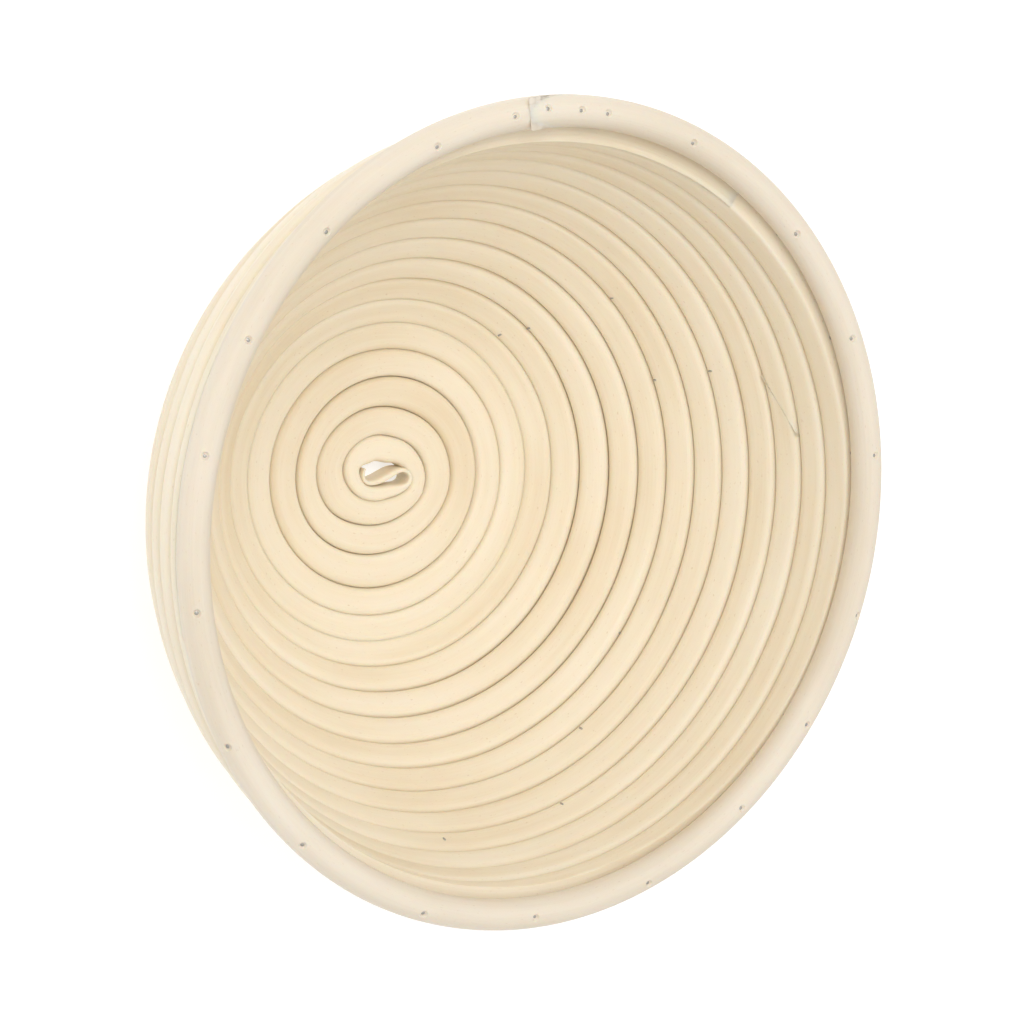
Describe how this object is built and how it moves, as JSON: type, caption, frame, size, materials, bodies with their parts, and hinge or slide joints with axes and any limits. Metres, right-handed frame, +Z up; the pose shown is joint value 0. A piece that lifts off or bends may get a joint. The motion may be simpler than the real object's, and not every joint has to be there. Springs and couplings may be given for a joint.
{
  "type": "banneton basket",
  "caption": "Round coiled-cane bread proofing basket with a flat base, a flaring bowl-shaped wall and a heavier lapped rim hoop, held together by small steel pins.",
  "frame": {"origin": "below the middle of the hoop, on the surface the basket stands on; the middle of the base is 4.8 mm from it towards -X", "axes": "+Z up, out of the basket's mouth; +X towards the side where the wall leans out furthest and the hoop is lowest"},
  "size_m": [0.2306, 0.2308, 0.1065],
  "materials": {
    "cane": "peeled rattan cane, natural, softly satin",
    "hoop_cane": "peeled rattan cane, heavier, natural, softly satin",
    "pin_steel": "bare bright wire"
  },
  "bodies": {
    "root": {"inner_cane": "cane", "outer_cane": "cane", "rim_hoop": "hoop_cane", "hoop_pins": "pin_steel", "lap_pins": "pin_steel", "scarf_pins": "pin_steel", "end_pin": "pin_steel", "turn_02_pins": "pin_steel", "turn_03_pins": "pin_steel", "turn_04_pins": "pin_steel", "turn_05_pins": "pin_steel", "turn_06_pins": "pin_steel", "turn_07_pins": "pin_steel", "turn_08_pins": "pin_steel", "turn_09_pins": "pin_steel", "turn_10_pins": "pin_steel", "turn_11_pins": "pin_steel", "turn_12_pins": "pin_steel", "turn_13_pins": "pin_steel", "turn_14_pins": "pin_steel", "turn_15_pins": "pin_steel", "turn_16_pins": "pin_steel"}
  },
  "joints": []
}
